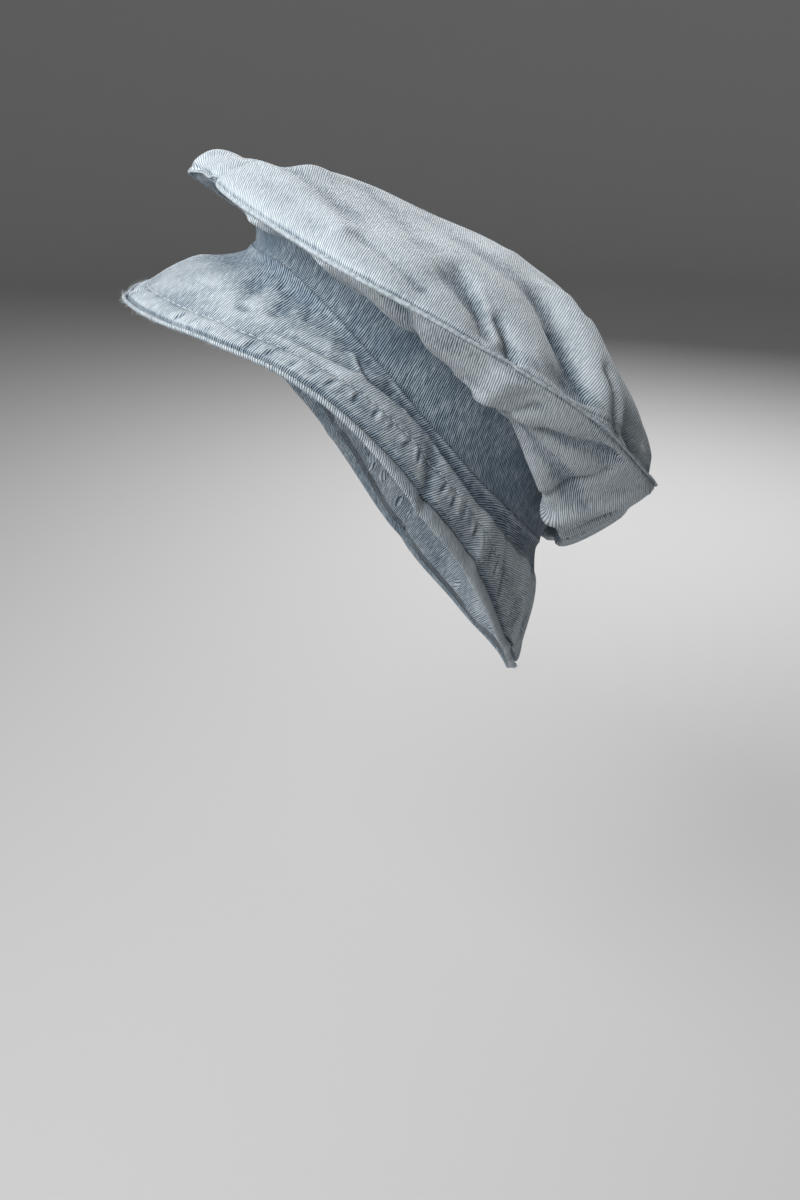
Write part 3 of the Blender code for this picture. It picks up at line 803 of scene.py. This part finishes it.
def add_facing(name, cloth, flat, material):
    """The brim's lower layer, which ends in the strip rolled out past the hem. Its side against
    the upper layer is coarse, and its inner side is fine."""
    first, last = cloth.brow, cloth.lip
    edge = last + 1
    lowered = cloth.points[:, first:last] + cloth.inward[:, first:last] * (CLOTH_THICKNESS + SEAM_GAP)
    lowered[:, 0] += cloth.along[:, first] * SEAM_GAP / 2
    against = every(last - first, 5)
    towards = every(last - first, 2)
    outer = lowered[:, against]
    inner = (lowered + cloth.inward[:, first:last] * CLOTH_THICKNESS)[:, towards]
    along, inward = strip_outline(cloth)
    strip = (cloth.points[:, edge][:, None] + along[..., None] * cloth.along[:, edge][:, None]
             + inward[..., None] * cloth.inward[:, edge][:, None])
    rings = np.concatenate([outer, strip, inner[:, ::-1]], axis=1)
    steps = np.linalg.norm(np.diff(strip, axis=1), axis=-1)
    around_strip = np.concatenate([np.zeros((len(strip), 1)), np.cumsum(steps, axis=1)], axis=1)
    run = cloth.round_length(cloth.lip)
    strip_flat = np.stack([run[:, None].repeat(STRIP_SIDES, axis=1), wrapped(around_strip)], axis=-1)
    strip_flat = rotated(strip_flat, STRIP_TWILL)
    flat_rings = np.concatenate([flat[:, against], strip_flat, flat[:, towards][:, ::-1]], axis=1)
    # The strip is set paler round the side of its roll that faces out and up, and the facing's inner side
    # a little darker than neutral
    bulge = 0.5 + 0.25 * np.cos(np.radians(np.linspace(*STRIP_TURN, STRIP_SIDES) - 60.0))
    wear_and_shade = np.concatenate([np.full(outer.shape[:2], 0.5), bulge[None].repeat(len(strip), axis=0),
                           np.full(inner.shape[:2], 0.45)], axis=1)
    faces, corners = swept(rings, flat_rings)
    return add_mesh(name, rings.reshape(-1, 3), faces, material, corners, wear_and_shade)


def add_tube(name, centres, raised, sideways, radii, material, sides=8):
    """A closed ring of cord: at each station an oval with half sizes radii (sideways, raised)."""
    turns = np.arange(sides) * 2.0 * math.pi / sides
    rings = (centres[:, None] + np.cos(turns)[None, :, None] * (sideways * radii[:, :1])[:, None]
             + np.sin(turns)[None, :, None] * (raised * radii[:, 1:])[:, None])
    faces, _, _ = swept_grid(len(centres), sides)
    return add_mesh(name, rings.reshape(-1, 3), faces, material)


def add_rim_seam(cloth, material):
    """The rope-like ridge of the seam round the crown's rim."""
    radius = around(RIM_SEAM_STATIONS, RIM_SEAM_COLUMNS, "radius", cloth.angles)
    length = cloth.round_length(cloth.rim)[:-1]
    twist = 1.0 + RIM_ROPE_TWIST * np.sin(length * 2.0 * math.pi / RIM_ROPE_PITCH)
    lumps = cloth_noise(cloth.smooth[:, cloth.rim], RIM_LUMP_SIZE, seed=5.0)
    unevenness = 1.0 + RIM_LUMP_SHARE * lumps
    sizes = np.stack([radius, 0.8 * radius], axis=-1) * (twist * unevenness)[:, None]
    outward, along = -cloth.inward[:, cloth.rim], cloth.along[:, cloth.rim]
    centres = cloth.points[:, cloth.rim] + along * RIM_SEAM_DROP
    return add_tube("rim_seam", centres, outward, along, sizes, material)


def line_at(cloth, lip_distance):
    """The brim's surface points and outward normals at each station, that far in from its lip."""
    columns = slice(cloth.brow, cloth.lip + 1)
    inside = cloth.down[:, cloth.lip][:, None] - cloth.down[:, columns]
    points, normals = [], []
    for station, distance in enumerate(lip_distance):
        reach = inside[station, ::-1]
        here = cloth.points[station, columns][::-1]
        facing = -cloth.inward[station, columns][::-1]
        points.append([np.interp(distance, reach, here[:, axis]) for axis in range(3)])
        normals.append([np.interp(distance, reach, facing[:, axis]) for axis in range(3)])
    return np.array(points), np.array(normals)


def along_loop(loop, lengths):
    """A closed loop of values read at lengths along it. The first three values are points."""
    closed = wrapped(loop)
    steps = np.linalg.norm(np.diff(closed[:, :3], axis=0), axis=-1)
    total = np.concatenate([[0.0], np.cumsum(steps)])
    place = np.mod(lengths, total[-1])
    columns = [np.interp(place, total, closed[:, axis]) for axis in range(closed.shape[1])]
    return np.stack(columns, axis=-1)


def add_stitches(cloth, material):
    """The light thread of the hem's inner stitch line, one small bowed stitch after another."""
    random = np.random.default_rng(11)
    distance = around(HEM_STATIONS, HEM_COLUMNS, "stitch", cloth.angles)
    points, normals = line_at(cloth, distance)
    loop = np.concatenate([points, normals], axis=1)
    total = np.linalg.norm(np.diff(wrapped(points), axis=0), axis=-1).sum()
    count = int(total / STITCH_PITCH)
    starts = np.arange(count) * total / count
    shares = np.linspace(0.0, 1.0, STITCH_RINGS)
    bow = np.sin(math.pi * shares) ** 0.6
    vertices, faces = [], []
    for start in starts:
        length = STITCH_LENGTH * random.uniform(0.9, 1.1)
        spine = along_loop(loop, start + shares * length)
        middle, normal = spine[:, :3], spine[:, 3:]
        normal /= np.linalg.norm(normal, axis=-1, keepdims=True)
        run = np.gradient(middle, axis=0)
        side = np.cross(run, normal)
        side /= np.linalg.norm(side, axis=-1, keepdims=True)
        slant = random.uniform(-0.0002, 0.0002) * (shares - 0.5)[:, None] * side
        middle = middle + slant + normal * (STITCH_RADIUS * (1.3 * bow - 0.5))[:, None]
        radii = STITCH_RADIUS * (0.45 + 0.55 * bow)
        faces += tube_faces(len(vertices), STITCH_RINGS, STITCH_SIDES)
        vertices += tube_points(middle, side, normal, radii, STITCH_SIDES)
    return add_mesh("hem_stitches", vertices, faces, material)


def tube_points(spine, side, other, radii, sides):
    """Points of a short tube round its spine, ring by ring."""
    turns = np.arange(sides) * 2.0 * math.pi / sides
    side, other = (np.broadcast_to(way, spine.shape)[:, None] for way in (side, other))
    round_spine = np.cos(turns)[None, :, None] * side + np.sin(turns)[None, :, None] * other
    rings = spine[:, None] + radii[:, None, None] * round_spine
    return rings.reshape(-1, 3).tolist()


def tube_faces(first, rings, sides):
    """Faces of a short tube with closed ends, from its first vertex on."""
    last = first + (rings - 1) * sides
    faces = [[first + k for k in range(sides)], [last + k for k in reversed(range(sides))]]
    for i in range(rings - 1):
        for k in range(sides):
            m = (k + 1) % sides
            faces.append([first + i * sides + k, first + (i + 1) * sides + k,
                          first + (i + 1) * sides + m, first + i * sides + m])
    return faces


def add_frays(cloth, material):
    """Short loose fibres along the brim's edge, denser in tufts."""
    random = np.random.default_rng(23)
    edge = cloth.lip + 1
    points = cloth.points[:, edge] + cloth.inward[:, edge] * CLOTH_THICKNESS
    loop = np.concatenate([points, -cloth.inward[:, edge], cloth.along[:, edge]], axis=1)
    total = np.linalg.norm(np.diff(wrapped(points), axis=0), axis=-1).sum()
    places = list(random.uniform(0.0, total, FRAY_COUNT))
    for tuft in random.uniform(0.0, total, FRAY_TUFTS):
        places += list(tuft + random.normal(0.0, FRAY_TUFT_SPREADS[0], FRAYS_IN_TUFT))
    for angle in FRAY_TUFT_ANGLES:
        station = int(((angle - 180.0) % 360.0) * len(points) / 360.0)
        tuft = np.linalg.norm(np.diff(points[:station + 1], axis=0), axis=-1).sum()
        places += list(tuft + random.normal(0.0, FRAY_TUFT_SPREADS[1], 3 * FRAYS_IN_TUFT))
    shares = np.linspace(0.0, 1.0, FRAY_RINGS)
    vertices, faces = [], []
    for place in places:
        here = along_loop(loop, np.array([place]))[0]
        raised, outward = here[3:6], here[6:9]
        round_way = np.cross(raised, outward)
        start = here[:3] + outward * random.uniform(*FRAY_ROOTS_OUT)
        start = start + raised * random.uniform(*FRAY_ROOTS_UP)
        way = outward * random.uniform(0.1, 1.0) + raised * random.normal(0.0, 0.45)
        way = way + round_way * random.normal(0.0, 0.9)
        way /= np.linalg.norm(way)
        curl = round_way * random.normal(0.0, 0.5) + raised * random.normal(0.0, 0.5)
        length = min(FRAY_LENGTH * random.lognormal(0.0, 0.5), 3.0 * FRAY_LENGTH)
        middle = start + length * (shares[:, None] * way + (shares ** 2)[:, None] * curl * 0.6)
        side = np.cross(way, raised + 0.01)
        side /= np.linalg.norm(side)
        other = np.cross(way, side)
        radii = FRAY_RADIUS * (1.0 - 0.6 * shares)
        faces += tube_faces(len(vertices), FRAY_RINGS, FRAY_SIDES)
        vertices += tube_points(middle, side, other, radii, FRAY_SIDES)
    return add_mesh("edge_frays", vertices, faces, material)


class Nodes:
    """A short hand for adding shader nodes to a material."""

    def __init__(self, name):
        self.material = bpy.data.materials.new(name)
        self.material.use_nodes = True
        self.tree = self.material.node_tree
        self.shader = self.tree.nodes["Principled BSDF"]

    def add(self, kind, inputs=None, output=0, **settings):
        """A node with its settings and inputs. Inputs are values or other nodes' sockets."""
        node = self.tree.nodes.new(kind)
        for key, value in settings.items():
            setattr(node, key, value)
        for key, value in (inputs or {}).items():
            self.feed(node.inputs[key], value)
        return node.outputs[output]

    def feed(self, socket, value):
        """Set a socket to a value, or link another node's socket to it."""
        if isinstance(value, bpy.types.NodeSocket):
            self.tree.links.new(value, socket)
        else:
            socket.default_value = value

    def math(self, operation, *values):
        """A Math node over one to three values."""
        return self.add("ShaderNodeMath", dict(enumerate(values)), operation=operation)

    def sway(self, value, amount, base):
        """A base value, raised where another value is over one half and lowered where under."""
        return self.math("MULTIPLY_ADD", self.math("SUBTRACT", value, 0.5), amount, base)

    def ramp(self, value, low, high, to_low=0.0, to_high=1.0):
        """A value stretched smoothly from one range to another."""
        return self.add("ShaderNodeMapRange", {"Value": value, "From Min": low, "From Max": high,
                                               "To Min": to_low, "To Max": to_high},
                        interpolation_type="SMOOTHSTEP")

    def noise(self, place, scale, detail=2.0, stretch=(1.0, 1.0, 1.0)):
        """Noise at a place, as a value round 0.5. stretch scales the place along each axis."""
        spread = self.add("ShaderNodeMapping", {"Vector": place, "Scale": stretch})
        return self.add("ShaderNodeTexNoise", {"Vector": spread, "Scale": scale, "Detail": detail})

    def blend(self, share, first, second, how="MIX"):
        """One colour blended with another."""
        node = self.tree.nodes.new("ShaderNodeMix")
        node.data_type = "RGBA"
        node.blend_type = how
        self.feed(node.inputs[0], share)
        self.feed(node.inputs[6], first)
        self.feed(node.inputs[7], second)
        return node.outputs[2]


# Washed denim: linear colours of its thread where worn pale, as it mostly is, and down in a gap
PALE_THREAD = (0.68, 0.74, 0.78, 1.0)
WASHED_THREAD = (0.47, 0.555, 0.625, 1.0)
BLUE_THREAD = (0.26, 0.34, 0.42, 1.0)
GAP_BLUE = (0.030, 0.046, 0.066, 1.0)
STITCH_THREAD = (0.62, 0.66, 0.68, 1.0)
ROPE_COTTON = (0.50, 0.57, 0.62, 1.0)


# The cloth's noises, as waves a metre: the twill's wander, its thicker threads and flecks, the
# wash's mottles and clouds, and the fuzz. Then the height of the weave's bump in metres.
WANDER, SLUBS, FLECKS, MOTTLES, CLOUDS, FUZZ = 300.0, 950.0, 1500.0, 60.0, 17.0, 2600.0
WEAVE_HEIGHT = 0.00018


def denim(name, paleness, gap_paleness):
    """Twill denim on a piece with "cloth" places, whose x runs across the twill, and a worn paleness per
    point, which also holds painted shade in creases and seam grooves.
    """
    nodes = Nodes(name)
    place = nodes.add("ShaderNodeAttribute", attribute_name="cloth", output=1)
    wear_and_shade = nodes.add("ShaderNodeAttribute", attribute_name="wear_and_shade", output=2)
    apart = nodes.tree.nodes.new("ShaderNodeSeparateXYZ")
    nodes.feed(apart.inputs[0], place)
    wander = nodes.noise(place, WANDER, 1.0, (1.0, 0.4, 1.0))
    ridges = nodes.math("DIVIDE", apart.outputs[0], TWILL_PITCH)
    across = nodes.math("MULTIPLY_ADD", wander, 0.9, ridges)
    wave = nodes.math("SINE", nodes.math("MULTIPLY", across, 2.0 * math.pi))
    slub = nodes.noise(place, SLUBS, 2.0, (1.0, 0.20, 1.0))
    fleck = nodes.noise(place, FLECKS, 1.0, (1.0, 0.45, 1.0))
    ridge = nodes.math("MULTIPLY_ADD", wave, 0.5, nodes.math("MULTIPLY_ADD", slub, 1.1, -0.05))
    thread = nodes.ramp(nodes.math("MULTIPLY_ADD", fleck, 0.4, ridge), 0.24, 0.96)
    mottle = nodes.noise(place, MOTTLES, 4.0)
    cloud = nodes.noise(place, CLOUDS, 2.0)
    wash_and_shade = nodes.sway(mottle, 1.3, paleness)
    wash_and_shade = nodes.sway(cloud, 0.6, wash_and_shade)
    # Worn paleness: ridges paler as real wear, creases and seam grooves darker as painted shade
    wash_and_shade = nodes.sway(wear_and_shade, 1.0, wash_and_shade)
    bright = nodes.sway(slub, 1.2, wash_and_shade)
    blued = nodes.blend(nodes.ramp(bright, -0.15, 0.55), BLUE_THREAD, WASHED_THREAD)
    paled = nodes.blend(nodes.ramp(bright, 0.35, 1.15), blued, PALE_THREAD)
    gap_wash_and_shade = nodes.math("ADD", wash_and_shade, gap_paleness - 0.5)
    gap = nodes.blend(nodes.ramp(gap_wash_and_shade, -0.1, 1.3, 0.0, 0.75), GAP_BLUE, WASHED_THREAD)
    nodes.feed(nodes.shader.inputs["Base Color"], nodes.blend(thread, gap, paled))
    fuzz = nodes.noise(place, FUZZ, 2.0)
    nodes.feed(nodes.shader.inputs["Roughness"], nodes.ramp(fuzz, 0.2, 0.8, 0.82, 0.97))
    height = nodes.math("MULTIPLY_ADD", fuzz, 0.25, nodes.math("MULTIPLY_ADD", slub, 0.3, thread))
    bump = nodes.add("ShaderNodeBump", {"Height": height, "Distance": WEAVE_HEIGHT})
    nodes.feed(nodes.shader.inputs["Normal"], bump)
    nodes.shader.inputs["Sheen Weight"].default_value = 0.12
    nodes.shader.inputs["Sheen Roughness"].default_value = 0.45
    nodes.shader.inputs["Specular IOR Level"].default_value = 0.15
    return nodes.material


def thread_finish(name, colour):
    """Cotton thread: matt, slightly mottled, with a twist in its bump."""
    nodes = Nodes(name)
    place = nodes.add("ShaderNodeNewGeometry")
    tone = nodes.noise(place, 700.0, 2.0)
    darker = tuple(0.62 * value for value in colour[:3]) + (1.0,)
    mottled = nodes.blend(nodes.ramp(tone, 0.25, 0.7), darker, colour)
    nodes.feed(nodes.shader.inputs["Base Color"], mottled)
    nodes.feed(nodes.shader.inputs["Roughness"], nodes.ramp(tone, 0.2, 0.8, 0.78, 0.95))
    fibres = nodes.noise(place, 3200.0, 1.0)
    bump = nodes.add("ShaderNodeBump", {"Height": fibres, "Distance": 0.0001})
    nodes.feed(nodes.shader.inputs["Normal"], bump)
    nodes.shader.inputs["Sheen Weight"].default_value = 0.2
    return nodes.material


def bent_strip(around_length, across_length, turn):
    """Flat places of a strip of cloth that bends by that many whole turns round the cap. Its
    length round the cap is true where the length across it is 0."""
    radius = around_length[-1] / (2.0 * math.pi * turn)
    angle = around_length[:, None] / radius
    reach = radius + across_length
    return np.stack([reach * np.sin(angle), -reach * np.cos(angle)], axis=-1)


def rotated(places, degrees):
    """Flat places turned so that the twill, at that angle in them, runs along y."""
    turn = math.radians(90.0 - degrees)
    matrix = np.array([[math.cos(turn), math.sin(turn)], [-math.sin(turn), math.cos(turn)]])
    return places @ matrix


# How each piece is cut: the turns that its flat strip makes, and its twill's angle there in degrees
TOP_TWILL = 161.0
SIDE_CUT = (-1.0, 40.0)
BAND_CUT = (-0.42, 0.0)
BRIM_CUT = (1.0, 138.0)
STRIP_TWILL = 62.0


def ring_flat(cloth, first, last, cut):
    """Flat places of a ring of the cap, true to length round its middle."""
    turn, twill = cut
    middle = (first + last) // 2
    across = wrapped(cloth.down[:, first:last + 1] - cloth.down[:, middle][:, None])
    return rotated(bent_strip(cloth.round_length(middle), across, turn), twill)


def top_flat(cloth):
    """Flat places of the crown's top, a disc."""
    turn = np.radians(np.append(cloth.angles, cloth.angles[0] + 360.0))[:, None]
    reach = wrapped(cloth.down[:, :cloth.rim + 1])
    return rotated(np.stack([reach * np.sin(turn), -reach * np.cos(turn)], axis=-1), TOP_TWILL)


def dress(piece, slot, *nodes):
    """Make a piece ride on the cap and hide the solids that it stands for. The slot is not used."""
    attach(piece, "root")
    if nodes:
        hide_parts(*nodes)
    return piece


def make_cap():
    """All the cloth of the cap."""
    angles = 180.0 + np.arange(STATIONS_AROUND) * 360.0 / STATIONS_AROUND
    cloth = Cloth(angles)
    top = add_disc("crown_top_cloth", cloth, top_flat(cloth), denim("denim_top", 0.66, 0.34))
    dress(top, "denim_top", "crown_top")
    side_finish = denim("denim_side", 0.64, 0.08)
    side = add_ring("crown_side_cloth", cloth, cloth.rim, cloth.neck,
                    ring_flat(cloth, cloth.rim, cloth.neck, SIDE_CUT), side_finish, inner_step=3)
    dress(side, "denim_side", "crown_side")
    band = add_ring("band_cloth", cloth, cloth.neck, cloth.brow,
                    ring_flat(cloth, cloth.neck, cloth.brow, BAND_CUT), side_finish)
    dress(band, "denim_side", "band")
    brim_flat = ring_flat(cloth, cloth.brow, cloth.lip, BRIM_CUT)
    upper = add_ring("brim_upper_cloth", cloth, cloth.brow, cloth.lip, brim_flat,
                     denim("denim_brim", 0.62, 0.28), inner_step=5)
    dress(upper, "denim_brim", "brim_upper")
    lower = add_facing("brim_lower_cloth", cloth, brim_flat, denim("denim_facing", 0.60, 0.24))
    dress(lower, "denim_facing", "brim_lower")
    dress(add_rim_seam(cloth, thread_finish("rope_cotton", ROPE_COTTON)), "denim_top")
    dress(add_stitches(cloth, thread_finish("stitch_thread", STITCH_THREAD)), "denim_brim")
    dress(add_frays(cloth, thread_finish("fray_thread", STITCH_THREAD)), "denim_facing")


# The stage, in metres
FLOOR_HEIGHT = -0.45
STAGE_REACH = 2.4
BACKDROP_BEND = 0.8
BACKDROP_HEIGHT = 2.6
STAGE_SIDES = 96
STAGE_TONE = (0.58, 0.58, 0.58, 1.0)

# The camera, which sees the cap at the photo's angle. Azimuth runs from the front to the left side.
CAMERA_AZIMUTH = 70.0
CAMERA_PITCH = 26.0
FOCAL_PIXELS = 1300.0
PICTURE_SIZE = (800.0, 1200.0)
ORIGIN_PIXEL = (391.0, 395.0)
PIXELS_PER_METRE = 2000.0
SENSOR_HEIGHT = 36.0


def make_stage():
    """A pale seamless floor that bends up into a backdrop all round behind the cap."""
    finish = Nodes("pale_paper")
    finish.shader.inputs["Base Color"].default_value = STAGE_TONE
    finish.shader.inputs["Roughness"].default_value = 0.9
    turns = np.radians(np.arange(0, 90, 6))
    bend = [(STAGE_REACH + BACKDROP_BEND * math.sin(turn), BACKDROP_BEND * (1 - math.cos(turn)))
            for turn in (*turns, math.pi / 2)]
    profile = [(STAGE_REACH / 4, 0.0), *bend, (STAGE_REACH + BACKDROP_BEND, BACKDROP_HEIGHT)]
    around_angles = np.radians(np.arange(STAGE_SIDES) * 360.0 / STAGE_SIDES)
    points = [(reach * math.cos(turn), reach * math.sin(turn), FLOOR_HEIGHT + height)
              for turn in around_angles for reach, height in profile]
    count = len(profile)
    faces = []
    for i in range(STAGE_SIDES):
        here, there = i * count, (i + 1) % STAGE_SIDES * count
        faces += [(here + k, there + k, there + k + 1, here + k + 1) for k in range(count - 1)]
    faces.append([i * count for i in reversed(range(STAGE_SIDES))])
    floor = add_mesh("floor", points, faces, finish.material)


def camera_axes():
    """The camera's right, up and back directions."""
    azimuth, pitch = math.radians(CAMERA_AZIMUTH), math.radians(CAMERA_PITCH)
    level = math.cos(pitch)
    back = Vector((math.sin(azimuth) * level, -math.cos(azimuth) * level, math.sin(pitch)))
    right = Vector((math.cos(azimuth), math.sin(azimuth), 0.0))
    return right, back.cross(right), back


def make_camera():
    """The camera, placed so that the origin falls on its pixel at the photo's scale."""
    right, up, back = camera_axes()
    depth = FOCAL_PIXELS / PIXELS_PER_METRE
    across = (ORIGIN_PIXEL[0] - PICTURE_SIZE[0] / 2) / FOCAL_PIXELS * depth
    above = -(ORIGIN_PIXEL[1] - PICTURE_SIZE[1] / 2) / FOCAL_PIXELS * depth
    data = bpy.data.cameras.new("camera")
    data.sensor_fit = "VERTICAL"
    data.sensor_height = SENSOR_HEIGHT
    data.lens = FOCAL_PIXELS / PICTURE_SIZE[1] * SENSOR_HEIGHT
    data.clip_start = 0.01
    camera = bpy.data.objects.new("camera", data)
    bpy.context.scene.collection.objects.link(camera)
    turn = Matrix((right, up, back)).transposed().to_4x4()
    camera.matrix_world = Matrix.Translation(back * depth - right * across - up * above) @ turn
    bpy.context.scene.camera = camera


AMBIENT_STRENGTH = 0.11


def add_light(name, direction, distance, size, power):
    """A soft square light that looks at the cap from a direction."""
    data = bpy.data.lights.new(name, "AREA")
    data.size = size
    data.energy = power
    light = bpy.data.objects.new(name, data)
    bpy.context.scene.collection.objects.link(light)
    direction = Vector(direction).normalized()
    light.location = direction * distance
    light.rotation_euler = direction.to_track_quat("Z", "Y").to_euler()


def make_lights():
    """A soft key light from the picture's left on the camera's side, one from behind, a dim fill
    from the camera's side, and low ambient light."""
    right, _, back = camera_axes()
    overhead = Vector((0, 0, 1))
    add_light("key", -0.75 * right + 0.8 * back + 0.55 * overhead, 0.95, 0.6, 10.4)
    add_light("behind", 0.3 * right - 1.0 * back + 0.9 * overhead, 1.5, 0.55, 19.0)
    add_light("fill", -0.3 * right + 1.0 * back + 0.2 * overhead, 1.4, 0.8, 2.6)
    world = bpy.data.worlds.new("studio")
    world.use_nodes = True
    sky = world.node_tree.nodes["Background"]
    sky.inputs["Color"].default_value = (1.0, 1.0, 1.0, 1.0)
    sky.inputs["Strength"].default_value = AMBIENT_STRENGTH
    bpy.context.scene.world = world
    bpy.context.scene.view_settings.view_transform = "Standard"


make_cap()
make_stage()
make_camera()
make_lights()
